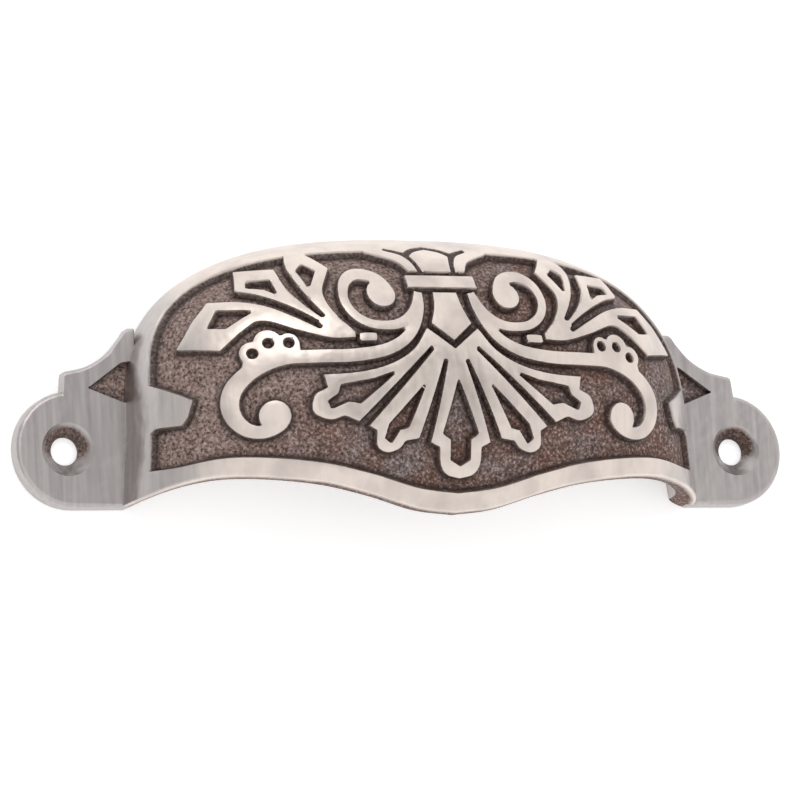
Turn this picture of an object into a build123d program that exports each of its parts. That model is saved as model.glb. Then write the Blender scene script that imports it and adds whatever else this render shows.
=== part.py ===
from build123d import *
from math import cos, pi, radians, sin, sqrt
import os

# Bin pull: a cup handle for a drawer, cast in one piece, with scroll and palmette ornament in relief.
# The frame is the pull as it hangs on a drawer: X along the drawer front, Y into the drawer, Z up.
# The mounting plane is Y = 0 and the origin lies on it, midway between the two screw holes.
# Flat outlines are drawn as seen from the front, as (X, Z), and carried along Y, the way the mould opens.

# Hood: a bulging shell over the fingers, open below and behind
hood_depth = 20.7
belly_height = 5.3
belly_drop = 28.3
hood_top = 30.8
crown_power = 2.2
spring_half_width = 43.4
spring_height = 2.5
flank_slant = 0.11
arch_power = 2.7
section_power = 2.3
wall = 3.0
relief = 1.1

# Ears and screw holes
hole_spacing = 104.0
hole_diameter = 4.0
countersink_diameter = 7.6
ear_thickness = 2.4
ear_bevel = 0.6
ear_end_radius = 8.3
ear_end_inset = 0.7
ear_step_height = 11.1
ear_peak_height = 17.4
ear_recess = 0.9

# Plain bands that frame the ornament
band_width = 2.2
band_rise = 24.6
band_power = 3.2
lip_width = 3.1

# Pad on the long scroll: its three dots, and the radius of the lobe round each
pad_dots = [(24.0, 12.45), (26.75, 12.5), (29.0, 11.1)]
pad_rounds = [1.55, 2.1, 1.85]
dot_radius = 0.65

# Flats of the rough casting: how many lie across a dome, and below and above its belly; chords of outlines
raised_flats = (30, 3, 12)
ground_flats = (24, 2, 10)
hollow_flats = (18, 2, 8)
band_flats = 10
crown_angle = 80.0
chord = 1.3

# Room that cutters take beyond the solid
clear = 4.0

# Lower edge of the hood: a point at the middle and an arch over the fingers on each side
lip_low = -11.6
lip_end = (spring_half_width + 1.6, -8.7)
lip_edge = [(0, lip_low), (6, -10.9), (13, -8.9), (21, -7.1), (32, -6.0), (39, -6.7), lip_end]
lip_ends = [(1, 0), (2, -1)]

hole_x = hole_spacing / 2
ear_root = spring_half_width - 1.4
ear_end_x = hole_x - ear_end_inset


def half_width(z, level):
    """Half the hood's width at height z, on the surface that lies level under the raised one."""
    half = spring_half_width - level
    if z <= spring_height:
        return half + flank_slant * (spring_height - z)
    rise = (z - spring_height) / (hood_top - level - spring_height)
    return half * (1 - rise**arch_power) ** (1 / arch_power)


def depth(z, level):
    """How far the hood stands out from the mounting plane at height z."""
    if z <= belly_height:
        return hood_depth * sqrt(1 - ((belly_height - z) / belly_drop) ** 2) - level
    rise = (z - belly_height) / (hood_top - level - belly_height)
    return (hood_depth - level) * (1 - rise**crown_power) ** (1 / crown_power)


def section(z, level, flats):
    """Points of a level section of the hood from left to right: half a superellipse, evenly turned."""
    points = []
    for i in range(flats + 1):
        c, s = cos(pi * i / flats), sin(pi * i / flats)
        reach = (abs(c) ** section_power + abs(s) ** section_power) ** (-1 / section_power)
        points.append((-half_width(z, level) * reach * c, -depth(z, level) * reach * s, z))
    return points


def hood(level, back, flats):
    """Solid dome of small flats, level under the raised surface, from under the lip to the flat on top."""
    across, below, above = flats
    low = lip_low - clear / 4
    rise = hood_top - level - belly_height
    heights = [low + (belly_height - low) * i / below for i in range(below)]
    heights += [belly_height + rise * sin(radians(crown_angle) * i / above) for i in range(above + 1)]
    faces = []
    for z in heights:
        points = section(z, level, across)
        ends = [(points[-1][0], back, z), (points[0][0], back, z)] if back else []
        faces.append(make_face(Polyline(*points, *ends, close=True)))
    return loft(faces, ruled=True)


def straight(*points):
    return list(Polyline(*points).edges())


def curve(*points, **ends):
    """Round run through the points, laid in short chords."""
    line = Spline(*points, **ends)
    count = max(len(points) - 1, round(line.length / chord))
    return straight(*[line @ (i / count) for i in range(count + 1)])


def outline(*runs):
    """Face inside a closed outline, given as its straight and round runs in order."""
    return make_face([edge for run in runs for edge in run])


def polygon(*points):
    return make_face(Polyline(*points, close=True))


def mirrored(shape):
    return mirror(shape, about=Plane.YZ)


def symmetric(*runs):
    """Face inside a half outline from the centre line to the centre line, and its mirror image."""
    half = [edge for run in runs for edge in run]
    return make_face(half + [mirrored(edge) for edge in half])


def strap(points, widths):
    """Band along a smooth line through the points, with its width given at each point."""
    line = Spline(*points)
    left, right = [], []
    for point, width in zip(points, widths):
        along = line.tangent_at(Vector(*point))
        across = Vector(-along.Y, along.X) * (width / 2)
        left.append(Vector(*point) + across)
        right.append(Vector(*point) - across)
    end, start = straight(left[-1], right[-1]), straight(right[0], left[0])
    return outline(curve(*left), end, curve(*reversed(right)), start)


def disc(centre, radius, sides):
    return Pos(*centre) * RegularPolygon(radius, sides).face()


def prism(face, front, back):
    """Solid between two depths in front of the mounting plane."""
    return extrude(Plane.XZ.offset(back) * face, amount=front - back)


def ear():
    """Right-hand screw plate: a round end, a step over the screw and a peak beside the hood."""
    rim, step_x = ear_end_radius, hole_x + 0.2
    step_foot = (step_x, sqrt(rim**2 - (step_x - ear_end_x) ** 2))
    step, peak = (step_x, ear_step_height), (ear_root + 0.4, ear_peak_height)
    hollow = ((step[0] + peak[0]) / 2 - 1.7, (step[1] + peak[1]) / 2 - 0.7)
    plate = outline(
        straight((ear_root, 4.0), (ear_root, -rim), (ear_end_x, -rim)),
        [ThreePointArc((ear_end_x, -rim), (ear_end_x + rim, 0), step_foot)],
        straight(step_foot, step),
        [ThreePointArc(step, hollow, peak)],
        straight(peak, (ear_root - 0.8, ear_peak_height), (ear_root - 1.4, 9.0), (ear_root, 4.0)),
    )
    face = ear_thickness - ear_bevel
    bevelled = extrude(Plane.XZ.offset(face) * plate, amount=ear_bevel, taper=45)
    body = prism(plate, face, 0) + bevelled
    x = ear_root + 1.6
    corner = polygon((x - 2.6, 6.4), (x, 6.7), (x + 5.1, 8.7), (x, 12.4), (x - 2.6, 12.8))
    body -= prism(corner, ear_thickness + clear, ear_thickness - ear_recess)
    axis = Plane(origin=(hole_x, -ear_thickness, 0), z_dir=(0, -1, 0))
    sink = (countersink_diameter - hole_diameter) / 2
    body -= axis * Pos(0, 0, -ear_thickness / 2) * Cylinder(hole_diameter / 2, 2 * ear_thickness)
    body -= axis * Pos(0, 0, -sink / 2) * Cone(hole_diameter / 2, countersink_diameter / 2, sink)
    return body


def panel():
    """Field of the ornament, inside the plain band of the arch and above the lip."""
    rim = []
    for i in range(band_flats + 1):
        turn = pi / 2 * i / band_flats
        x = (spring_half_width - band_width) * cos(turn) ** (2 / band_power)
        z = spring_height + band_rise * sin(turn) ** (2 / band_power)
        rim.append((x, z))
    foot = (spring_half_width - 1.5, lip_end[1] + 1.55 * lip_width)
    low = [(x, z + lip_width) for x, z in lip_edge[:-1]]
    return symmetric(curve(*low, foot, tangents=[(1, 0), (1, -0.4)]), straight(foot, *rim))


def tab():
    """Lug of the band on the flank."""
    return outline(
        curve((43.5, 10.5), (41.0, 8.0), (36.7, 5.2)),
        straight((36.7, 5.2), (38.2, 1.6), (41.0, 1.7), (43.5, -1.0), (43.5, 10.5)),
    )


def crown():
    """Raised ground of the petals that grow from the cross bar into the band."""
    return symmetric(straight((0, 23.4), (4.4, 23.4)), curve((4.4, 23.4), (5.8, 25.3), (9.5, 27.0)),
                     straight((9.5, 27.0), (9.5, 30.0), (0, 30.0)))


def petal_groove():
    """Groove round the middle petal, with a branch that parts the side petal from the band."""
    return outline(
        straight((1.9, 23.4), (3.0, 23.4)),
        curve((3.0, 23.4), (3.4, 25.0), (4.4, 26.5), (6.4, 27.4)),
        straight((6.4, 27.4), (6.2, 27.9)),
        curve((6.2, 27.9), (4.7, 27.4), (3.6, 27.0)),
        curve((3.6, 27.0), (2.1, 27.9), (0.2, 28.4)),
        straight((0.2, 28.4), (0.2, 27.8)),
        curve((0.2, 27.8), (1.9, 27.3), (2.9, 26.4)),
        curve((2.9, 26.4), (2.3, 25.0), (1.9, 23.4)),
    )


def middle():
    """Cross bar, and the shield that hangs under it."""
    bar = Pos(0, 21.8) * Rectangle(10.8, 2.2).face()
    shield = symmetric(straight((0, 20.1), (1.9, 20.1)), curve((1.9, 20.1), (2.3, 17.6), (3.2, 15.1)),
                       straight((3.2, 15.1), (0, 12.4)))
    return [bar, shield]


def fan():
    """Palmette of five lobes with stepped shoulders and round tips, split almost to the root."""
    return symmetric(
        straight((0, 11.5), (3.9, 14.6)),
        curve((3.9, 14.6), (6.4, 11.3), (10.0, 9.2), (14.5, 8.1), (19.8, 7.8)),
        straight((19.8, 7.8), (19.4, 5.9)),
        curve((19.4, 5.9), (21.2, 4.8), (21.5, 2.4), (19.2, 1.2), (17.0, 1.7)),
        straight((17.0, 1.7), (15.0, 0.8), (3.2, 11.7), (13.8, 0.3), (12.6, -0.4)),
        curve((12.6, -0.4), (12.5, -2.6), (11.0, -3.5), (9.2, -3.0), (8.2, -1.9)),
        straight((8.2, -1.9), (6.2, -1.6), (1.5, 9.8), (4.7, -2.1), (3.3, -2.8)),
        curve((3.3, -2.8), (3.1, -5.2), (2.0, -6.6), (0, -7.1), tangents=[(0, -1), (-1, 0)]),
    )


def fan_hollows():
    """Sunk middles of the palmette's lobes: the outer one, the next one and the middle one."""
    outer = polygon((9.2, 8.0), (12.5, 6.9), (17.3, 6.1), (17.7, 4.9), (19.2, 3.9), (18.8, 2.9),
                    (16.4, 3.9), (14.7, 3.6), (11.9, 5.8))
    inner = polygon((5.1, 6.1), (10.6, 0.5), (11.2, -1.4), (10.4, -2.0), (9.2, -0.2), (7.9, 0.1))
    centre = symmetric(straight((0, 6.7), (2.6, -0.8), (1.4, -1.6), (1.4, -4.4), (0, -5.2)))
    return [outer, mirrored(outer), inner, mirrored(inner), centre]


def scrolls():
    """Two scrolls from one stem: a close one beside the bar and a long one that curls in below."""
    close_line = [(4.0, 20.1), (4.9, 17.5), (6.4, 15.8), (8.3, 14.95), (10.3, 14.8), (12.4, 15.2),
                  (14.2, 16.5), (15.1, 18.3), (15.1, 20.0), (14.4, 21.7), (13.0, 22.8), (11.3, 22.9),
                  (9.6, 22.1), (8.4, 20.5)]
    close_width = [1.4, 1.9, 1.9, 1.7, 1.6, 1.6, 1.6, 1.6, 1.6, 1.8, 2.0, 2.1, 2.1, 1.8]
    long_line = [(4.0, 20.1), (4.4, 17.6), (5.5, 15.0), (7.2, 12.9), (9.5, 11.5), (12.2, 10.75),
                 (16.0, 10.35), (20.5, 10.35), (25.0, 10.2), (29.0, 8.8), (31.6, 6.5), (32.4, 4.2),
                 (31.9, 2.0), (30.4, 0.4), (28.4, -0.1), (26.6, 0.3), (25.2, 1.2)]
    long_width = [1.4, 1.6, 1.8, 1.9, 2.0, 2.1, 2.2, 2.2, 2.2, 2.5, 2.7, 2.7, 2.5, 2.2, 2.0, 1.8, 1.6]
    eyes = [disc((9.6, 19.75), 2.3, 10), disc((26.6, 2.1), 2.4, 10)]
    return [strap(close_line, close_width), strap(long_line, long_width), *eyes]


def pad():
    """Lobed pad on the long scroll's shoulder, round its three dots."""
    body = polygon((22.4, 10.0), (22.4, 12.6), (24.0, 13.6), (26.75, 13.6), (30.2, 11.4), (31.4, 9.4),
                   (28.0, 9.0))
    return [body] + [disc(dot, radius, 10) for dot, radius in zip(pad_dots, pad_rounds)]


def leaves():
    """Half palmette of three leaves on one root, the first grown into the band."""
    first = outline(
        curve((14.3, 13.9), (16.3, 16.0), (17.6, 18.3), (17.8, 20.3), (16.9, 22.2), (15.8, 24.0)),
        straight((15.8, 24.0), (18.6, 27.5), (20.6, 27.5)),
        curve((20.6, 27.5), (21.7, 25.2), (21.7, 23.0), (20.6, 19.8), (18.5, 16.4)),
        straight((18.5, 16.4), (19.6, 15.4), (18.0, 13.6), (14.3, 13.9)),
    )
    second = outline(
        curve((17.6, 15.0), (20.7, 18.0), (22.7, 20.9), (23.3, 24.3)),
        straight((23.3, 24.3), (28.7, 24.4), (29.7, 20.8)),
        curve((29.7, 20.8), (26.4, 19.7), (22.5, 17.6), (19.0, 15.2)),
        straight((19.0, 15.2), (17.6, 15.0)),
    )
    third = outline(
        curve((14.4, 12.9), (18.0, 12.9), (22.5, 14.2), (27.0, 15.8), (29.6, 14.6), (33.0, 11.7)),
        straight((33.0, 11.7), (38.4, 12.5), (35.8, 16.7), (33.4, 19.5)),
        curve((33.4, 19.5), (29.5, 19.2), (26.0, 18.2), (22.6, 16.4), (19.4, 14.5)),
        straight((19.4, 14.5), (18.6, 15.4), (14.4, 14.0), (14.4, 12.9)),
    )
    return [first, second, third]


def leaf_hollows():
    """Sunk middles of the three leaves."""
    return [
        polygon((18.1, 23.6), (19.4, 24.8), (20.5, 23.7), (19.7, 20.8)),
        polygon((24.7, 22.4), (27.6, 22.3), (27.9, 21.3), (25.7, 20.9), (24.3, 20.0)),
        polygon((28.0, 17.5), (32.5, 17.9), (34.0, 15.4), (31.9, 15.2), (29.8, 16.5)),
    ]


def bead():
    return Pos(12.7, 13.3) * Rectangle(2.8, 1.9).face()


def sunk_ground():
    """All faces that lie at the ground's level: the field round the ornament and its hollows."""
    half = [*scrolls(), *pad(), *leaves(), bead(), tab()]
    raised = [crown(), *middle(), fan()] + half + [mirrored(face) for face in half]
    field = panel()
    for face in raised:
        field -= face
    hollows = [petal_groove(), *leaf_hollows(), *[disc(dot, dot_radius, 6) for dot in pad_dots]]
    return [*field.faces(), *fan_hollows(), *hollows, *[mirrored(face) for face in hollows]]


def casting():
    """The whole pull: carved dome on its sunk ground, hollowed, with its lip edge and ears."""
    body = hood(0, 0, raised_flats)
    body -= [prism(face, hood_depth + clear, ear_thickness) for face in sunk_ground()]
    body = body + hood(relief, 0, ground_flats) - hood(wall, clear, hollow_flats)
    far = 2 * hole_x
    below = straight(lip_end, (far, lip_end[1]), (far, -far), (0, -far))
    under = symmetric(curve(*lip_edge, tangents=lip_ends), below)
    body -= prism(under, hood_depth + clear, -2 * clear)
    right = ear()
    return body + right + mirrored(right)


if __name__ == "__main__":
    os.makedirs("parts", exist_ok=True)
    export_step(casting(), "parts/cast_pull.step")
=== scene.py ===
from math import radians

import bpy
import numpy as np
from mathutils import Matrix, Vector


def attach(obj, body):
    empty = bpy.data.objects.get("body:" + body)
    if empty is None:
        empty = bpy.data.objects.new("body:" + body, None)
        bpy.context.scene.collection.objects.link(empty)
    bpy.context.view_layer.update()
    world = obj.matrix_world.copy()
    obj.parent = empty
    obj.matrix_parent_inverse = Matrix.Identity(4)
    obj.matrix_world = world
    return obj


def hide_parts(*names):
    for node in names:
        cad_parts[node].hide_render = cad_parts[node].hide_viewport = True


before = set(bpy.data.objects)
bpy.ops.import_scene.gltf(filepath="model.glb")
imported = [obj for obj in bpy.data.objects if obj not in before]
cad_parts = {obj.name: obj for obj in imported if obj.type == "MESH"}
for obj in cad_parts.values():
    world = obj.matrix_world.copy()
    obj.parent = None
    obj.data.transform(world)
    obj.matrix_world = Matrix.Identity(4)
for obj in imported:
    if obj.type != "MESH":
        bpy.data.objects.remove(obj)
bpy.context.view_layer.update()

MM = 0.001
TINY = 1e-12

# Hood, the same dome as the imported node: lengths in mm, and the powers of its superellipses
HOOD_DEPTH = 20.7
BELLY_HEIGHT = 5.3
BELLY_DROP = 28.3
HOOD_TOP = 30.8
FLAT_TOP = 30.4
CROWN_POWER = 2.2
SPRING_HALF_WIDTH = 43.4
SPRING_HEIGHT = 2.5
FLANK_SLANT = 0.11
ARCH_POWER = 2.7
SECTION_POWER = 2.3
WALL = 3.0
RELIEF = 1.1
PETAL_GROOVE = 0.4

# Plain bands that frame the ornament: lengths in mm, and the power of the arch's inner edge
BAND_HALF_WIDTH = 41.4
BAND_RISE = 24.7
BAND_POWER = 3.4
LIP_WIDTH = 2.8
LIP_ROUND = 0.5
LIP_EDGE = [(0, -11.6), (6, -10.9), (13, -8.9), (21, -7.1), (32, -6.0), (39, -6.7), (45, -8.7)]

# Dots of the scroll's pad, and the lobes round them, in mm
PAD_DOTS = [(24.0, 12.45), (26.75, 12.5), (29.0, 11.1)]
PAD_ROUNDS = [1.55, 2.1, 1.85]
DOT_RADIUS = 0.65

# Ears: lengths in mm, the round end's arc in degrees
HOLE_X = 52.0
HOLE_RADIUS = 2.0
COUNTERSINK_RADIUS = 3.8
EAR_THICKNESS = 2.4
EAR_BEVEL = 0.7
EAR_END = (51.3, 0.0)
EAR_END_RADIUS = 8.28
EAR_END_ARC = (-90, 83)
EAR_RECESS = 0.9
EAR_ROOT = 42.0
EAR_BACK = 0.02

# Walls of the relief, in mm: their run, the reach from which points move to them, the worn edge on top, and
# the step over which a slope is measured
WALL_RUN = 0.3
WALL_REACH = 0.42
WORN_EDGE = 0.06
SLOPE_STEP = 0.01

# Share of its distance that a moved point keeps. Points stay where the dome faces the viewer by less than
# STEEP, and in the FIXED rows and columns at its border
CROWDED = 0.12
STEEP = 0.2
FIXED = 3

# Fineness of the meshes, and the angle in degrees past which an edge is sharp
COLUMNS = 365
ROWS_BELOW = 56
ROWS_ABOVE = 136
INNER_BELOW = 6
INNER_ABOVE = 14
LIP_ROWS = 6
CENTRE_CROWDING = 0.3
RING_POINTS = 240
EAR_RINGS = 8
BORE_RINGS = 3
BEVEL_RINGS = 4
ARC_POINTS = 60
DISC_POINTS = 40
SHARP_ANGLE = 38

# Dirt and painted shade at the foot of the walls: how far it spreads from a wall, in mm, and how much of it
# lies in the countersinks. Their rust is real, and painted shade makes it grow from its least on a spoke that
# points down to full on one that points up, darker on the upper side
DIRT_AND_SHADE_REACH = 0.25
CORNER_DIRT_AND_SHADE_REACH = 0.5
CONE_DIRT_AND_SHADE = 0.75
CONE_RUST_LEAST = 0.15
CONE_UPPER_SHADE_FROM = -0.7
CONE_UPPER_SHADE_FULL = 0.5

# Finish: share of the half width over which the flank turns from polished to brushed, how brushed the hollow
# is, and how polished the lip's underside is where it starts inside. Towards there it darkens, as rough cast
# and as painted shade under the lip
FLANK_FROM = 0.72
FLANK_FULL = 0.96
HOLLOW_BRUSHED = 0.7
LIP_POLISH_AND_SHADE = 0.1

# Patterns of the metal, in mm: grinding streaks and how much longer than wide they are, stains, sand grain
# and waves from grinding by hand, then their depths. Real streaks are finer: these are drawn coarse to show
STREAK_WIDTH = 0.6667
STREAK_STRETCH = 20
STAIN_SIZE = 5.556
GRAIN_SIZE = 0.4545
WAVE_SIZE = 3.846
SCRATCH_DEPTH = 0.05
WAVE_DEPTH = 0.8
PIT_DEPTH = 0.3

# How dark the dirt and painted shade at the foot of the walls are, and how far a stain pulls the border
# between polish and rust
DIRT_AND_SHADE_DARKNESS = 0.9
STAIN_PULL = 0.3

# Painted light: the ground is paler towards this side, as if lit from there, between these distances from the
# origin, in mm
PAINTED_LIGHT_SIDE = (-0.7, 0.0, 0.7)
PAINTED_LIGHT_FROM = 5
PAINTED_LIGHT_FULL = 28

# Stage: sizes and places in metres, the lamp's power in watts, the other lights as strengths
SHEET_HALF = 1.5
SHEET_GAP = 0.3 * MM
SHEET_LIFT = 0.35
KEY_PLACE = (-0.2, -0.9, 0.7)
KEY_SIZE = 0.6
KEY_POWER = 1.5
TENT_LIGHT = 1.08

# Dark parts of the room that the metal mirrors: their direction, the cosines from it at which the dimming
# starts and is full, and the share of the light that is left
DARK_SIDES = [((0.2, -0.95, 0.24), 0.92, 0.99, 0.45), ((-0.88, -0.42, 0.22), 0.72, 0.96, 0.66)]

# Camera, fitted to the photograph: place in mm, angles in degrees
CAMERA_AT = (-230.6, -551.1, -96.3)
CAMERA_YAW = -22.66
CAMERA_PITCH = 9.88
CAMERA_ROLL = 3.75
CAMERA_LENS = 188.3


# Outlines, as (X, Z) seen from the front

def curve(*points, steps=10):
    """Smooth run through the points: a Catmull-Rom spline, sampled."""
    p = np.array(points, float)
    p = np.vstack([2 * p[0] - p[1], p, 2 * p[-1] - p[-2]])
    t = np.linspace(0, 1, steps, endpoint=False)[:, None, None]
    a, b, c, d = p[:-3], p[1:-2], p[2:-1], p[3:]
    run = 0.5 * (2 * b + (c - a) * t + (2 * a - 5 * b + 4 * c - d) * t**2 + (3 * b - a - 3 * c + d) * t**3)
    return np.vstack([run.transpose(1, 0, 2).reshape(-1, 2), p[-2]])


def straight(*points):
    """Straight run from point to point."""
    return np.array(points, float)


def outline(*runs):
    """Closed outline made of runs end to end."""
    return np.vstack(runs)


def symmetric(*runs):
    """Closed outline from a half that starts and ends on the centre line."""
    half = np.vstack(runs)
    return np.vstack([half, half[::-1] * (-1, 1)])


def strap(points, widths):
    """Band along a smooth line, its width given at each point: the line moved half a width to either side."""
    line = curve(*points)
    along = np.gradient(line, axis=0)
    across = np.stack([-along[:, 1], along[:, 0]], 1) / np.linalg.norm(along, axis=1)[:, None]
    width = np.interp(np.linspace(0, len(points) - 1, len(line)), np.arange(len(points)), widths)[:, None]
    return np.vstack([line + across * width / 2, (line - across * width / 2)[::-1]])


def disc(centre, radius):
    """Round outline."""
    turn = np.linspace(0, 2 * np.pi, DISC_POINTS, endpoint=False)
    return np.stack([centre[0] + radius * np.cos(turn), centre[1] + radius * np.sin(turn)], 1)


def distance(x, z, polygon):
    """Signed distance from points to a closed outline, below zero inside it.

    The distance is to the nearest point of any edge. A point is inside where a level ray from it crosses an
    odd number of edges.
    """
    nearest = np.full(x.shape, np.inf)
    inside = np.zeros(x.shape, bool)
    for (ax, az), (bx, bz) in zip(polygon, np.roll(polygon, -1, axis=0)):
        ex, ez = bx - ax, bz - az
        share = np.clip(((x - ax) * ex + (z - az) * ez) / max(ex * ex + ez * ez, TINY), 0, 1)
        nearest = np.minimum(nearest, (x - ax - share * ex) ** 2 + (z - az - share * ez) ** 2)
        crosses = (az > z) != (bz > z)
        side = ex * (z - az) / np.where(ez == 0, TINY, ez) + ax
        inside ^= crosses & (x < side)
    return np.where(inside, -1, 1) * np.sqrt(nearest)


def panel():
    """Field of the ornament, inside the plain band of the arch and above the lip."""
    turn = np.linspace(0, np.pi / 2, ARC_POINTS)
    rim = np.stack([BAND_HALF_WIDTH * np.cos(turn) ** (2 / BAND_POWER),
                    SPRING_HEIGHT + BAND_RISE * np.sin(turn) ** (2 / BAND_POWER)], 1)
    low = curve(*[(x, z + LIP_WIDTH) for x, z in LIP_EDGE[:-1]], (41.9, -3.9))
    return symmetric(low, rim)


def tab():
    """Lug of the band on the flank."""
    return outline(curve((44.0, 10.5), (41.0, 8.0), (36.7, 5.2)),
                   straight((37.4, 2.8), (38.2, 1.6), (41.0, 1.7), (44.0, -1.0)))


def crown():
    """Raised ground of the petals that grow from the cross bar into the band."""
    return symmetric(straight((0, 23.4), (4.4, 23.4)), curve((4.4, 23.4), (5.8, 25.3), (9.5, 27.0)),
                     straight((9.5, 30.0), (0, 30.0)))


def petal_groove():
    """Groove round the middle petal, with a branch that parts the side petal from the band."""
    return outline(
        straight((2.25, 23.4), (2.85, 23.4)),
        curve((2.85, 23.4), (3.2, 25.0), (4.2, 26.45), (6.3, 27.4)),
        curve((6.2, 27.8), (4.6, 27.25), (3.6, 26.9)),
        curve((3.6, 26.9), (2.1, 27.7), (0.0, 28.2)),
        curve((0.0, 27.75), (1.9, 27.2), (3.1, 26.35)),
        curve((3.1, 26.35), (2.6, 25.0), (2.25, 23.4)),
    )


def middle():
    """Cross bar, and the shield that hangs under it."""
    bar = symmetric(straight((0, 20.7), (5.4, 20.7), (5.4, 22.9), (0, 22.9)))
    shield = symmetric(straight((0, 20.1), (1.9, 20.1)), curve((1.9, 20.1), (2.3, 17.6), (3.2, 15.1)),
                       straight((3.2, 15.1), (0, 12.4)))
    return [bar, shield]


def fan():
    """Palmette of five lobes with stepped shoulders and round tips, split almost to the root."""
    return symmetric(
        straight((0, 11.5), (3.9, 14.6)),
        curve((3.9, 14.6), (6.4, 11.3), (10.0, 9.2), (14.5, 8.1), (19.8, 7.8)),
        straight((19.8, 7.8), (19.4, 5.9)),
        curve((19.4, 5.9), (21.2, 4.8), (21.5, 2.4), (19.2, 1.2), (17.0, 1.7)),
        straight((17.0, 1.7), (15.0, 0.8), (3.6, 11.6), (3.3, 11.3), (13.8, 0.3), (12.6, -0.4)),
        curve((12.6, -0.4), (12.5, -2.6), (11.0, -3.5), (9.2, -3.0), (8.2, -1.9)),
        straight((8.2, -1.9), (6.2, -1.6), (1.8, 9.7), (1.45, 9.6), (4.7, -2.1), (3.3, -2.8)),
        curve((3.3, -2.8), (3.1, -5.2), (2.0, -6.6), (0, -7.1)),
    )


def fan_hollows():
    """Sunk middles of the palmette's lobes: the outer one, the next one and the middle one."""
    outer = straight((9.2, 8.0), (12.5, 6.9), (17.3, 6.1), (17.7, 4.9), (19.2, 3.9), (18.8, 2.9),
                     (16.4, 3.9), (14.7, 3.6), (11.9, 5.8))
    inner = straight((5.1, 6.1), (10.6, 0.5), (11.2, -1.4), (10.4, -2.0), (9.2, -0.2), (7.9, 0.1))
    centre = symmetric(straight((0, 6.7), (2.6, -0.8), (1.4, -1.6), (1.4, -4.4), (0, -5.2)))
    return [outer, inner, centre]


def scrolls():
    """Two scrolls from one stem: a close one beside the bar and a long one that curls in below."""
    close_line = [(4.0, 20.1), (4.9, 17.5), (6.4, 15.8), (8.3, 14.95), (10.3, 14.8), (12.4, 15.2),
                  (14.2, 16.5), (15.1, 18.3), (15.1, 20.0), (14.4, 21.7), (13.0, 22.8), (11.3, 22.9),
                  (9.6, 22.1), (8.4, 20.5)]
    close_width = [1.4, 1.9, 1.9, 1.7, 1.6, 1.6, 1.6, 1.6, 1.6, 1.8, 2.0, 2.1, 2.1, 1.8]
    long_line = [(4.0, 20.1), (4.4, 17.6), (5.5, 15.0), (7.2, 12.9), (9.5, 11.5), (12.2, 10.75),
                 (16.0, 10.35), (20.5, 10.35), (25.0, 10.2), (29.0, 8.8), (31.6, 6.5), (32.4, 4.2),
                 (31.9, 2.0), (30.4, 0.4), (28.4, -0.1), (26.6, 0.3), (25.2, 1.2)]
    long_width = [1.4, 1.6, 1.8, 1.9, 2.0, 2.1, 2.2, 2.2, 2.2, 2.5, 2.7, 2.7, 2.5, 2.2, 2.0, 1.8, 1.6]
    return [strap(close_line, close_width), strap(long_line, long_width),
            disc((9.6, 19.75), 2.2), disc((26.6, 2.1), 2.3)]


def pad():
    """Lobed pad on the long scroll's shoulder, round its three dots."""
    body = straight((22.4, 10.0), (22.4, 12.6), (24.0, 13.6), (26.75, 13.6), (30.2, 11.4), (30.7, 8.9),
                    (28.0, 9.0))
    return [body] + [disc(dot, radius) for dot, radius in zip(PAD_DOTS, PAD_ROUNDS)]


def leaves():
    """Half palmette of three leaves on one root, the first grown into the band."""
    first = outline(
        curve((14.3, 13.9), (16.3, 16.0), (17.6, 18.3), (17.8, 20.3), (16.9, 22.2), (15.8, 24.0)),
        straight((18.6, 27.5), (20.6, 27.5)),
        curve((20.6, 27.5), (21.7, 25.2), (21.7, 23.0), (20.6, 19.8), (18.5, 16.4)),
        straight((19.6, 15.4), (18.0, 13.6)),
    )
    second = outline(
        curve((17.6, 15.0), (20.7, 18.0), (22.7, 20.9), (23.3, 24.3)),
        straight((28.7, 24.4), (29.7, 20.8)),
        curve((29.7, 20.8), (26.4, 19.7), (22.5, 17.6), (19.0, 15.2)),
    )
    third = outline(
        curve((14.4, 12.9), (18.0, 12.9), (22.5, 14.2), (27.0, 15.8), (29.6, 14.6), (33.0, 11.7)),
        straight((38.4, 12.5), (35.8, 16.7), (33.4, 19.5)),
        curve((33.4, 19.5), (29.5, 19.2), (26.0, 18.2), (22.6, 16.4), (19.4, 14.5)),
        straight((18.6, 15.4), (14.4, 14.0)),
    )
    return [first, second, third]


def leaf_hollows():
    """Sunk middles of the three leaves."""
    return [
        straight((18.1, 23.6), (19.4, 24.8), (20.5, 23.7), (19.7, 20.8)),
        straight((24.7, 22.4), (27.6, 22.3), (27.9, 21.3), (25.7, 20.9), (24.3, 20.0)),
        straight((28.0, 17.5), (32.5, 17.9), (34.0, 15.4), (31.9, 15.2), (29.8, 16.5)),
    ]


def bead():
    """Small bead between the stem and the leaves."""
    return curve((11.5, 12.4), (13.9, 12.4), (14.1, 13.1), (13.8, 13.75), (11.6, 13.75), (11.3, 13.1),
                 (11.5, 12.4))


def relief_distance(x, z):
    """Signed distance in the front view to the edge of what is raised, below zero on raised metal.

    Raised is all outside the panel or inside an ornament, less the hollows and grooves.
    """
    x = np.abs(x)
    raised = -distance(x, z, panel())
    for shape in [tab(), crown(), *middle(), fan(), *scrolls(), *pad(), *leaves(), bead()]:
        raised = np.minimum(raised, distance(x, z, shape))
    dots = [disc(dot, DOT_RADIUS) for dot in PAD_DOTS]
    for shape in [petal_groove(), *fan_hollows(), *leaf_hollows(), *dots]:
        raised = np.maximum(raised, -distance(x, z, shape))
    return raised


# Surfaces

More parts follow.
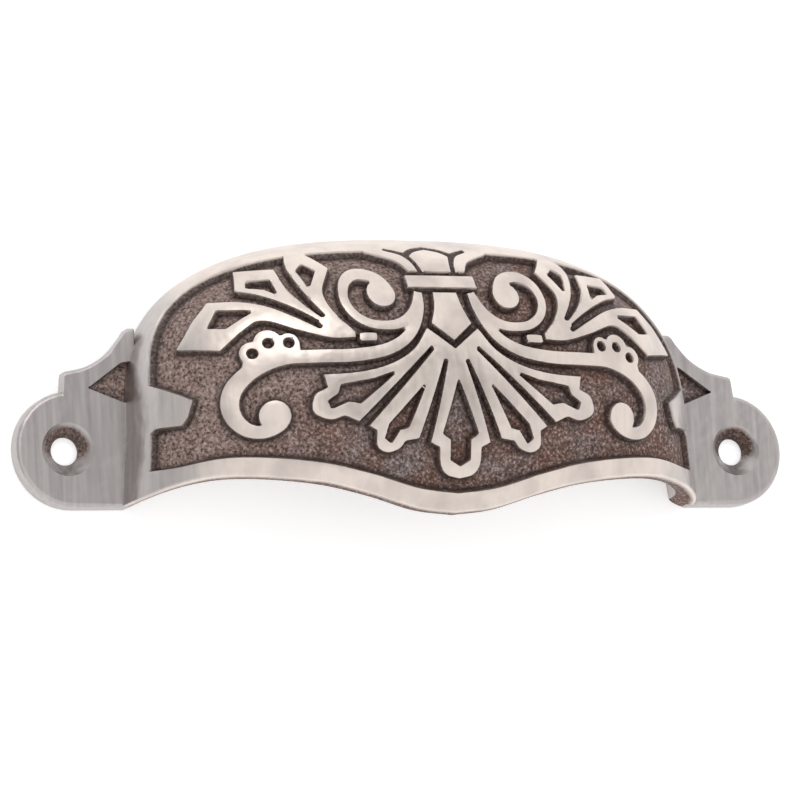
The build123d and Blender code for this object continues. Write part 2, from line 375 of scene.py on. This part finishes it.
def smoothstep(low, high, value):
    """Rise from 0 at low to 1 at high, level at both ends: 3 t squared less 2 t cubed."""
    t = np.clip((value - low) / (high - low), 0, 1)
    return t * t * (3 - 2 * t)


def superellipse(turn, power):
    """Point at an angle on a unit superellipse."""
    c, s = np.cos(turn), np.sin(turn)
    r = (np.abs(c) ** power + np.abs(s) ** power) ** (-1 / power)
    return r * c, r * s


def half_width(z, level):
    """Half the hood's width at height z, on the surface that lies level under the raised one.

    Above the spring it is a superellipse's, and below it the flank slants out.
    """
    half = SPRING_HALF_WIDTH - level
    rise = np.clip((z - SPRING_HEIGHT) / (HOOD_TOP - level - SPRING_HEIGHT), 0, 1)
    arch = half * (1 - rise**ARCH_POWER) ** (1 / ARCH_POWER)
    return np.where(z < SPRING_HEIGHT, half + FLANK_SLANT * (SPRING_HEIGHT - z), arch)


def lip_height(x):
    """Height of the lip's edge, read off the smooth run through its points."""
    line = curve(*LIP_EDGE)
    return np.interp(np.abs(x), line[:, 0], line[:, 1])


def dome(across, rows_below, rows_above, level):
    """Points of the dome, a row for each height from the lip's edge to the top.

    Level sections are half superellipses, as wide as the arch and as deep as the belly and crown curves. The
    lip's height and the width there depend on each other, and a few rounds settle them.
    """
    c, s = superellipse(across, SECTION_POWER)
    low = np.full(across.shape, LIP_EDGE[0][1])
    for _ in range(4):
        low = lip_height(half_width(low, level) * c) + LIP_ROUND
    share = np.linspace(0, 1, rows_below, endpoint=False)[:, None]
    below = low + (BELLY_HEIGHT - low) * share
    below_depth = HOOD_DEPTH * np.sqrt(1 - ((BELLY_HEIGHT - below) / BELLY_DROP) ** 2) - level
    out, up = superellipse(np.linspace(0, np.pi / 2, rows_above), CROWN_POWER)
    above = BELLY_HEIGHT + (HOOD_TOP - level - BELLY_HEIGHT) * up[:, None] * np.ones_like(across)
    above_depth = (HOOD_DEPTH - level) * out[:, None] * np.ones_like(across)
    z = np.vstack([below, above])
    b = np.vstack([below_depth, above_depth])
    return np.stack([half_width(z, level) * c, -b * s, np.minimum(z, FLAT_TOP - level)], -1)


def depth_at(x, z):
    """How far the dome stands out at a place in the front view: its depth there times a superellipse."""
    below = HOOD_DEPTH * np.sqrt(1 - (np.minimum(z - BELLY_HEIGHT, 0) / BELLY_DROP) ** 2)
    rise = np.clip((z - BELLY_HEIGHT) / (HOOD_TOP - BELLY_HEIGHT), 0, 1)
    above = HOOD_DEPTH * (1 - rise**CROWN_POWER) ** (1 / CROWN_POWER)
    share = np.clip(np.abs(x) / half_width(z, 0.0), 0, 1)
    return np.where(z < BELLY_HEIGHT, below, above) * (1 - share**SECTION_POWER) ** (1 / SECTION_POWER)


def normals(grid):
    """Outward normals of a grid of points, from the differences along its rows and columns."""
    n = np.cross(np.gradient(grid, axis=1), np.gradient(grid, axis=0))
    return n / np.maximum(np.linalg.norm(n, axis=-1, keepdims=True), TINY)


def grid_faces(rows, columns, wrap=False):
    """Four-sided faces of a grid of points that are numbered row by row."""
    i, j = np.meshgrid(np.arange(rows - 1), np.arange(columns if wrap else columns - 1), indexing="ij")
    k = (j + 1) % columns
    a = i * columns
    return np.stack([a + j, a + k, a + columns + k, a + columns + j], -1).reshape(-1, 4)


def make_piece(name, points, faces, attributes):
    """Mesh object from points in mm, with point attributes for the material to read."""
    mesh = bpy.data.meshes.new(name)
    mesh.from_pydata((points * MM).tolist(), [], faces)
    for key, values in attributes.items():
        layer = mesh.attributes.new(key, "FLOAT", "POINT")
        layer.data.foreach_set("value", np.asarray(values, np.float32))
    mesh.polygons.foreach_set("use_smooth", np.ones(len(mesh.polygons), bool))
    mesh.set_sharp_from_angle(angle=radians(SHARP_ANGLE))
    mesh.update()
    piece = bpy.data.objects.new(name, mesh)
    bpy.context.scene.collection.objects.link(piece)
    return piece


def to_walls(x, z, free):
    """Points near an outline moved across it, in the front view, to the top or the foot of its wall.

    A point moves along the slope of its distance from the outline, to half the wall's run and a small share
    of that distance more, so that points keep their order. One that isn't free or would miss stays where it
    is. Returns the new places, their distances from the outline, and which points moved.
    """
    edge = relief_distance(x, z)
    slope_x = (relief_distance(x + SLOPE_STEP, z) - edge) / SLOPE_STEP
    slope_z = (relief_distance(x, z + SLOPE_STEP) - edge) / SLOPE_STEP
    target = np.where(edge < 0, -1, 1) * (WALL_RUN / 2 + CROWDED * np.abs(edge))
    new_x, new_z = x + (target - edge) * slope_x, z + (target - edge) * slope_z
    hits = np.abs(relief_distance(new_x, new_z) - target) < WALL_RUN / 3
    moved = free & hits & (np.abs(edge) < WALL_REACH)
    return np.where(moved, new_x, x), np.where(moved, new_z, z), np.where(moved, target, edge), moved


def carve(face):
    """Carved face from the plain dome: the ground sunk along the dome's normals, with walls on the outlines.

    Returns the points, their height in the relief from 0 to 1, and their distance from the outlines.
    """
    out = normals(face)
    free = out[..., 1] < -STEEP
    free[:FIXED] = False
    free[:, :FIXED] = free[:, -FIXED:] = False
    x, z, edge, moved = to_walls(face[..., 0], face[..., 2], free)
    placed = np.where(moved[..., None], np.stack([x, -depth_at(x, z), z], -1), face)
    height = np.where(moved, edge < 0, smoothstep(WALL_RUN / 2, -WALL_RUN / 2, edge))
    worn = WORN_EDGE * np.exp(np.minimum(edge + WALL_RUN / 2, 0) / WALL_RUN) * height
    shallow = distance(np.abs(face[..., 0]), face[..., 2], petal_groove()) < WALL_REACH
    level = np.where(shallow, PETAL_GROOVE, RELIEF) * (1 - height) + worn
    return placed - out * level[..., None], height, edge


def round_lip(inner_edge, outer_edge):
    """Rows of the lip's underside: half an ellipse from the hollow's edge to the face's edge."""
    turn = np.linspace(0, np.pi, LIP_ROWS + 2)[1:-1, None, None]
    centre, reach = (inner_edge + outer_edge) / 2, (outer_edge - inner_edge) / 2
    return centre - reach * np.cos(turn) + np.array([0, 0, -LIP_ROUND]) * np.sin(turn)


def hood_faces(inner_count, rows):
    """Faces of the hood's sheet, and which of its points are kept.

    The first and the last row are each one point, the top of the hollow and of the face. A strip along each
    end closes the sheet on the mounting plane, and one face closes each end of the lip.
    """
    kept = np.r_[0, COLUMNS:(rows - 1) * COLUMNS, rows * COLUMNS - 1]
    number = np.clip(np.arange(rows * COLUMNS) - (COLUMNS - 1), 0, len(kept) - 1)
    grid = number[grid_faces(rows, COLUMNS)]
    faces = grid[:COLUMNS - 1, 1:].tolist() + grid[COLUMNS - 1:1 - COLUMNS].tolist()
    faces += grid[1 - COLUMNS:, :3].tolist()
    outer = np.arange(inner_count + LIP_ROWS, rows)
    inner = inner_count - 1 - (outer - outer[0]) * (inner_count - 1) // (len(outer) - 1)
    lip_end = np.arange(inner_count - 1, inner_count + LIP_ROWS + 1)[None]
    for column, turn in ((0, 1), (COLUMNS - 1, -1)):
        o, n = outer * COLUMNS + column, inner * COLUMNS + column
        face_side = np.stack([o[:-1], o[1:], n[1:]], 1)
        hollow_side = np.stack([o[:-1], n[1:], n[:-1]], 1)[n[1:] != n[:-1]]
        for part in (face_side, hollow_side, lip_end * COLUMNS + column):
            faces += number[part][:, ::turn].tolist()
    return faces, kept


def hood():
    """Hood as one sheet: down the hollow side, round the lip, and up the carved face.

    Returns its points, its faces, and its values at each point: the height in the relief, the dirt and
    painted shade at the foot of the walls, and where the metal is plain, on the flanks and inside.
    """
    u = np.linspace(-1, 1, COLUMNS)
    across = np.pi / 2 * (1 - u * (1 - CENTRE_CROWDING) - CENTRE_CROWDING * u**3)
    carved, height, edge = carve(dome(across, ROWS_BELOW, ROWS_ABOVE, 0.0))
    carved[:, 0, 1] = carved[:, -1, 1] = 0
    carved[-1] = (0, 0, FLAT_TOP)
    inner = dome(across, INNER_BELOW, INNER_ABOVE, WALL)[::-1]
    points = np.vstack([inner, round_lip(inner[-1], carved[0]), carved])
    inside = np.ones(inner.shape[:2])
    # Painted shade and rough cast: the lip's underside turns darker towards the hollow
    on_lip = np.linspace(LIP_POLISH_AND_SHADE, 1, LIP_ROWS)[:, None] * np.ones(COLUMNS)
    # Painted shade and dirt: the ground darkens towards the foot of each wall
    dirt_and_shade = np.exp(-np.abs(edge - WALL_RUN / 2) / DIRT_AND_SHADE_REACH)
    flank = smoothstep(FLANK_FROM, FLANK_FULL, np.abs(carved[..., 0]) / SPRING_HALF_WIDTH)
    values = {
        "relief": np.vstack([inside, on_lip, height]),
        "foot": np.vstack([0 * inside, 0 * on_lip, dirt_and_shade]),
        "plain": np.vstack([HOLLOW_BRUSHED * inside, 1 - on_lip, flank]),
    }
    faces, kept = hood_faces(len(inner), len(points))
    return points.reshape(-1, 3)[kept], faces, {key: value.ravel()[kept] for key, value in values.items()}


def ear_outline():
    """Right-hand screw plate: a round end, a step over the screw and a peak beside the hood."""
    turn = np.linspace(*np.radians(EAR_END_ARC), ARC_POINTS)
    end = EAR_END + EAR_END_RADIUS * np.stack([np.cos(turn), np.sin(turn)], 1)
    arc = curve((52.0, 11.1), (48.6, 11.9), (45.4, 13.8), (43.2, 16.2), (42.4, 17.4))
    root = straight((EAR_ROOT, -6.9), (EAR_ROOT + 1.6, -EAR_END_RADIUS))
    return outline(root, end, arc, straight((EAR_ROOT - 0.8, 17.4)))


def ear_corner():
    """Sunk corner of the ear, a wedge that runs in under the hood."""
    return straight((41, 6.4), (43.6, 6.7), (48.7, 8.7), (43.6, 12.4), (41, 12.8))


def resample(polygon, count):
    """Closed outline with its points spaced evenly along it."""
    loop = np.vstack([polygon, polygon[:1]])
    run = np.r_[0, np.cumsum(np.linalg.norm(np.diff(loop, axis=0), axis=1))]
    at = np.linspace(0, run[-1], count, endpoint=False)
    return np.stack([np.interp(at, run, loop[:, 0]), np.interp(at, run, loop[:, 1])], 1)


def crossings(spoke, polygon):
    """Nearest and farthest distance from the hole at which each spoke crosses a closed outline.

    A spoke is r times its direction and an edge is a + s (b - a): setting them equal gives r and s. A spoke
    that misses has its nearest beyond its farthest.
    """
    nearest, farthest = np.full(len(spoke), np.inf), np.zeros(len(spoke))
    corners = polygon - (HOLE_X, 0)
    for a, side in zip(corners, np.roll(corners, -1, axis=0) - corners):
        turn = spoke[:, 0] * side[1] - spoke[:, 1] * side[0]
        turn = np.where(turn == 0, TINY, turn)
        r = (a[0] * side[1] - a[1] * side[0]) / turn
        s = (a[0] * spoke[:, 1] - a[1] * spoke[:, 0]) / turn
        hit = (s >= 0) & (s <= 1) & (r > 0)
        nearest = np.where(hit, np.minimum(nearest, r), nearest)
        farthest = np.where(hit, np.maximum(farthest, r), farthest)
    return nearest, farthest


def ear_rings(spoke, reach):
    """Rings of the right ear, as distances from the hole and heights, and the spokes over its sunk corner.

    They run up the bore, out over the countersink and face, round the rim and onto the back. Along each spoke
    they gather on the walls of the sunk corner, so its edges are true. The corner ends short of the bevel,
    with room for its wall.
    """
    flat = reach - EAR_BEVEL
    near, far = crossings(spoke, ear_corner())
    far = np.minimum(far, flat - 2 * WALL_RUN)
    sunk = far - near > WALL_RUN
    column = np.arange(RING_POINTS)
    near = np.where(sunk, near, np.interp(column, column[sunk], near[sunk], period=RING_POINTS))
    near = np.minimum(near, flat - 4 * WALL_RUN)
    far = np.where(sunk, far, near + WALL_RUN)
    run = np.minimum(WALL_RUN, (far - near) / 3)
    level = EAR_THICKNESS - EAR_RECESS * sunk
    cone_foot = EAR_THICKNESS - COUNTERSINK_RADIUS + HOLE_RADIUS
    shares = np.linspace(0, 1, EAR_RINGS)
    rings = [(HOLE_RADIUS, EAR_BACK), (HOLE_RADIUS, cone_foot / 2), (HOLE_RADIUS, cone_foot)]
    rings += [(COUNTERSINK_RADIUS + (near - COUNTERSINK_RADIUS) * share, EAR_THICKNESS) for share in shares]
    rings += [(near + run + (far - near - 2 * run) * share, level) for share in shares]
    rings += [(far + (flat - far) * share, EAR_THICKNESS) for share in shares]
    for angle in np.linspace(0, np.pi / 2, BEVEL_RINGS + 1)[1:]:
        rings.append((flat + EAR_BEVEL * np.sin(angle), EAR_THICKNESS - EAR_BEVEL * (1 - np.cos(angle))))
    rings.append((reach, EAR_BACK))
    radius = np.array([r + 0 * reach for r, _ in rings])
    rise = np.array([up + 0 * reach for _, up in rings])
    return radius, rise, sunk


def ear():
    """Right ear: its rings carried round the hole, and closed at the back from the rim to the bore.

    Returns its points, its faces and the same values as the hood's.
    """
    rim = resample(ear_outline(), RING_POINTS) - (HOLE_X, 0)
    reach = np.linalg.norm(rim, axis=1)
    spoke = rim / reach[:, None]
    radius, rise, sunk = ear_rings(spoke, reach)
    x, z = HOLE_X + radius * spoke[:, 0], radius * spoke[:, 1]
    first = np.arange(RING_POINTS)
    last = first + (len(radius) - 1) * RING_POINTS
    back = np.stack([last, np.roll(last, -1), np.roll(first, -1), first], 1)
    faces = np.vstack([grid_faces(len(radius), RING_POINTS, wrap=True), back])
    low, cone = np.zeros(rise.shape), np.zeros(rise.shape)
    low[BORE_RINGS + EAR_RINGS:BORE_RINGS + 2 * EAR_RINGS] = sunk
    # Painted shade: the countersink's rust and dirt grow fuller towards its upper side, which faces down, so
    # that side is darker
    upper_shade = smoothstep(CONE_UPPER_SHADE_FROM, CONE_UPPER_SHADE_FULL, spoke[:, 1])
    cone[1:BORE_RINGS] = CONE_RUST_LEAST + (1 - CONE_RUST_LEAST) * upper_shade
    # Painted shade and dirt along the walls of the sunk corner, and in the countersink, which is darker on
    # its upper side
    dirt_and_shade = np.exp(-np.abs(distance(x, z, ear_corner())) / CORNER_DIRT_AND_SHADE_REACH) * low
    values = {"relief": 1 - np.maximum(low, cone), "foot": np.maximum(CONE_DIRT_AND_SHADE * cone, dirt_and_shade),
              "plain": np.ones(rise.shape)}
    points = np.stack([x, -rise, z], -1).reshape(-1, 3)
    return points, faces, {key: value.ravel() for key, value in values.items()}


def pull():
    """The whole casting in one mesh: the hood, the right ear and its mirror image."""
    points, faces, values = hood()
    plate, plate_faces, plate_values = ear()
    right = (plate_faces + len(points))[:, ::-1].tolist()
    left = (plate_faces + len(points) + len(plate)).tolist()
    points = np.vstack([points, plate, plate * (-1, 1, 1)])
    values = {key: np.r_[values[key], plate_values[key], plate_values[key]] for key in values}
    return make_piece("pull", points, faces + right + left, values)


# Materials

def srgb(code):
    """Linear colour, with alpha, of an sRGB hex code."""
    values = np.array([int(code[i:i + 2], 16) for i in (1, 3, 5)]) / 255
    linear = np.where(values <= 0.04045, values / 12.92, ((values + 0.055) / 1.055) ** 2.4)
    return (*linear.tolist(), 1.0)


def node(tree, kind, inputs=None, **settings):
    """Adds a node, sets its properties, and sets or links its inputs."""
    made = tree.nodes.new(kind)
    for key, value in settings.items():
        setattr(made, key, value)
    for key, value in (inputs or {}).items():
        if isinstance(value, bpy.types.NodeSocket):
            tree.links.new(value, made.inputs[key])
        else:
            made.inputs[key].default_value = value
    return made


def new_material(name):
    """Empty material and its node tree."""
    material = bpy.data.materials.new(name)
    material.use_nodes = True
    material.node_tree.nodes.clear()
    return material, material.node_tree


def polished_iron(tree, place, streak, stain):
    """Ground and polished iron: a warm satin shine with upright streaks, duller in stains.

    Ears, flanks and hollow are only brushed, so they look greyer. Slow waves from grinding by hand make the
    reflections wander.
    """
    plain = node(tree, "ShaderNodeAttribute", attribute_name="plain").outputs["Fac"]
    clean = node(tree, "ShaderNodeMix", {"Factor": streak, "A": srgb("#d2c7bf"), "B": srgb("#e6dad1")},
                 data_type="RGBA").outputs["Result"]
    bright = node(tree, "ShaderNodeMix", {"Factor": stain, "A": clean, "B": srgb("#c2b7b1")},
                  data_type="RGBA").outputs["Result"]
    brushed = node(tree, "ShaderNodeMix", {"Factor": streak, "A": srgb("#a09b9b"), "B": srgb("#c8c2bf")},
                   data_type="RGBA").outputs["Result"]
    steel = node(tree, "ShaderNodeMix", {"Factor": plain, "A": bright, "B": brushed},
                 data_type="RGBA").outputs["Result"]
    satin = node(tree, "ShaderNodeMapRange", {"Value": streak, "To Min": 0.28, "To Max": 0.46})
    wave = node(tree, "ShaderNodeTexNoise", {"Vector": place, "Scale": 1 / (WAVE_SIZE * MM), "Detail": 2.0})
    uneven = node(tree, "ShaderNodeBump", {"Strength": 0.35, "Distance": WAVE_DEPTH * MM,
                                           "Height": wave.outputs["Fac"]})
    scratch = node(tree, "ShaderNodeBump", {"Strength": 0.12, "Distance": SCRATCH_DEPTH * MM,
                                            "Height": streak, "Normal": uneven.outputs["Normal"]})
    return node(tree, "ShaderNodeBsdfPrincipled", {
        "Base Color": steel, "Metallic": 1.0, "Roughness": satin.outputs["Result"],
        "Normal": scratch.outputs["Normal"]})


def rusty_iron(tree, place, stain):
    """Iron as cast, with the sand's grain, browned by rust: matt, with dark pits, pale flecks, and dirt and
    painted shade.

    The ground is darker at the foot of the walls, with dirt and painted shade, and paler towards one side, as
    painted light.
    """
    foot = node(tree, "ShaderNodeAttribute", attribute_name="foot").outputs["Fac"]
    grain = node(tree, "ShaderNodeTexNoise", {"Vector": place, "Scale": 1 / (GRAIN_SIZE * MM), "Detail": 3.0,
                                              "Roughness": 0.7}).outputs["Fac"]
    # Painted light: the ground is paler towards the upper left, as if lit from there
    along = node(tree, "ShaderNodeVectorMath", {0: place, 1: PAINTED_LIGHT_SIDE}, operation="DOT_PRODUCT")
    painted_light = node(tree, "ShaderNodeMapRange", {"Value": along.outputs["Value"], "From Min": PAINTED_LIGHT_FROM * MM,
                                               "From Max": PAINTED_LIGHT_FULL * MM},
                  interpolation_type="SMOOTHSTEP").outputs["Result"]
    brown = node(tree, "ShaderNodeMix", {"Factor": stain, "A": srgb("#6b4535"), "B": srgb("#71625f")},
                 data_type="RGBA").outputs["Result"]
    rust = node(tree, "ShaderNodeMix", {"Factor": painted_light, "A": brown, "B": srgb("#8c736a")},
                data_type="RGBA").outputs["Result"]
    low = node(tree, "ShaderNodeMapRange", {"Value": grain, "From Min": 0.36, "From Max": 0.52})
    pitted = node(tree, "ShaderNodeMix", {"Factor": low.outputs["Result"], "A": srgb("#33261f"), "B": rust},
                  data_type="RGBA").outputs["Result"]
    speck = node(tree, "ShaderNodeMapRange", {"Value": grain, "From Min": 0.52, "From Max": 0.76})
    flecked = node(tree, "ShaderNodeMix", {"Factor": speck.outputs["Result"], "A": pitted,
                                           "B": srgb("#beb2b1")}, data_type="RGBA").outputs["Result"]
    # Dirt and painted shade: the ground darkens to near black at the foot of the walls and in the
    # countersinks
    shade = node(tree, "ShaderNodeMath", {0: foot, 1: DIRT_AND_SHADE_DARKNESS}, operation="MULTIPLY").outputs["Value"]
    dirtied_and_shaded = node(tree, "ShaderNodeMix", {"Factor": shade, "A": flecked, "B": srgb("#261c18")},
                  data_type="RGBA").outputs["Result"]
    pits = node(tree, "ShaderNodeBump", {"Strength": 0.9, "Distance": PIT_DEPTH * MM, "Height": grain})
    return node(tree, "ShaderNodeBsdfPrincipled", {
        "Base Color": dirtied_and_shaded, "Metallic": 0.1, "Roughness": 0.6, "Normal": pits.outputs["Normal"]})


def cast_iron():
    """Cast iron: polished where it stands high, rust-brown where it is sunk, with a ragged border between
    them.
    """
    material, tree = new_material("polished cast iron")
    place = node(tree, "ShaderNodeTexCoord").outputs["Object"]
    relief = node(tree, "ShaderNodeAttribute", attribute_name="relief").outputs["Fac"]
    upright = node(tree, "ShaderNodeMapping", {"Vector": place, "Scale": (1, 1, 1 / STREAK_STRETCH)})
    streak = node(tree, "ShaderNodeTexNoise", {"Vector": upright.outputs["Vector"], "Detail": 4.0,
                                               "Scale": 1 / (STREAK_WIDTH * MM)}).outputs["Fac"]
    blotch = node(tree, "ShaderNodeTexNoise", {"Vector": place, "Scale": 1 / (STAIN_SIZE * MM),
                                               "Detail": 4.0}).outputs["Fac"]
    stain = node(tree, "ShaderNodeMapRange", {"Value": blotch, "From Min": 0.42,
                                              "From Max": 0.72}).outputs["Result"]
    polished = polished_iron(tree, place, streak, stain)
    ground = rusty_iron(tree, place, stain)
    worn = node(tree, "ShaderNodeMath", {0: blotch, 1: STAIN_PULL, 2: relief}, operation="MULTIPLY_ADD")
    high = node(tree, "ShaderNodeMapRange", {"Value": worn.outputs["Value"], "From Min": 0.8,
                                             "From Max": 1.05}).outputs["Result"]
    mixed = node(tree, "ShaderNodeMixShader", {0: high, 1: ground.outputs[0], 2: polished.outputs[0]})
    node(tree, "ShaderNodeOutputMaterial", {"Surface": mixed.outputs[0]})
    return material


def paper():
    """White paper sheet: matt, lifted to white where it is seen, and dimmer in the pull's shadow.

    From behind it is clear, so that the pull's back can be seen through it.
    """
    material, tree = new_material("white paper")
    behind = node(tree, "ShaderNodeNewGeometry").outputs["Backfacing"]
    path = node(tree, "ShaderNodeLightPath").outputs
    seen = node(tree, "ShaderNodeMath", {0: path["Is Camera Ray"], 1: path["Is Glossy Ray"]},
                operation="MAXIMUM")
    seen = node(tree, "ShaderNodeMath", {0: seen.outputs[0], 1: path["Is Transmission Ray"]},
                operation="MAXIMUM")
    lift = node(tree, "ShaderNodeMath", {0: seen.outputs[0], 1: SHEET_LIFT}, operation="MULTIPLY")
    matt = node(tree, "ShaderNodeBsdfDiffuse", {"Color": srgb("#f6f6f6")})
    white = node(tree, "ShaderNodeEmission", {"Color": srgb("#ffffff"), "Strength": lift.outputs[0]})
    clear = node(tree, "ShaderNodeBsdfTransparent")
    front = node(tree, "ShaderNodeAddShader", {0: matt.outputs[0], 1: white.outputs[0]})
    mixed = node(tree, "ShaderNodeMixShader", {0: behind, 1: front.outputs[0], 2: clear.outputs[0]})
    node(tree, "ShaderNodeOutputMaterial", {"Surface": mixed.outputs[0]})
    return material


# Stage

def sheet():
    """Sheet of paper just behind the mounting plane."""
    corners = [(-SHEET_HALF, SHEET_GAP, -SHEET_HALF), (SHEET_HALF, SHEET_GAP, -SHEET_HALF),
               (SHEET_HALF, SHEET_GAP, SHEET_HALF), (-SHEET_HALF, SHEET_GAP, SHEET_HALF)]
    mesh = bpy.data.meshes.new("sheet")
    mesh.from_pydata(corners, [], [(0, 1, 2, 3)])
    mesh.materials.append(paper())
    backdrop = bpy.data.objects.new("sheet", mesh)
    bpy.context.scene.collection.objects.link(backdrop)


def key_light():
    """Soft round lamp above the camera, aimed at the origin."""
    light = bpy.data.lights.new("key", "AREA")
    light.shape = "DISK"
    light.size = KEY_SIZE
    light.energy = KEY_POWER
    lamp = bpy.data.objects.new("key", light)
    lamp.location = KEY_PLACE
    lamp.rotation_euler = (-Vector(KEY_PLACE)).to_track_quat("-Z", "Y").to_euler()
    bpy.context.scene.collection.objects.link(lamp)


def room():
    """White light from all round, dimmed in the directions of the dark sides."""
    world = bpy.data.worlds.new("studio")
    bpy.context.scene.world = world
    world.use_nodes = True
    tree = world.node_tree
    tree.nodes.clear()
    around = node(tree, "ShaderNodeTexCoord").outputs["Generated"]
    light = TENT_LIGHT
    for side, outer, inner, share in DARK_SIDES:
        facing = node(tree, "ShaderNodeVectorMath", {0: around, 1: side}, operation="DOT_PRODUCT")
        dimmed = node(tree, "ShaderNodeMapRange", {"Value": facing.outputs["Value"], "From Min": outer,
                                                   "From Max": inner, "To Min": 1.0, "To Max": share},
                      interpolation_type="SMOOTHSTEP").outputs["Result"]
        light = node(tree, "ShaderNodeMath", {0: light, 1: dimmed}, operation="MULTIPLY").outputs["Value"]
    sky = node(tree, "ShaderNodeBackground", {"Color": srgb("#ffffff"), "Strength": light})
    node(tree, "ShaderNodeOutputWorld", {"Surface": sky.outputs[0]})


def camera():
    """Camera where the photograph's was: in front of the pull, to its left and a little below it."""
    turn = (Matrix.Rotation(radians(CAMERA_YAW), 3, "Z") @ Matrix.Rotation(radians(CAMERA_PITCH), 3, "X")
            @ Matrix.Rotation(radians(CAMERA_ROLL), 3, "Y"))
    right, forward, up = turn.transposed()
    data = bpy.data.cameras.new("camera")
    data.lens = CAMERA_LENS
    shot = bpy.data.objects.new("camera", data)
    shot.matrix_world = (Matrix.Translation(Vector(CAMERA_AT) * MM)
                         @ Matrix((right, up, -forward)).transposed().to_4x4())
    bpy.context.scene.collection.objects.link(shot)
    bpy.context.scene.camera = shot


casting = pull()
casting.data.materials.append(cast_iron())
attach(casting, "root")
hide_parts("cast_pull")
sheet()
key_light()
room()
camera()
bpy.context.scene.view_settings.view_transform = "Standard"
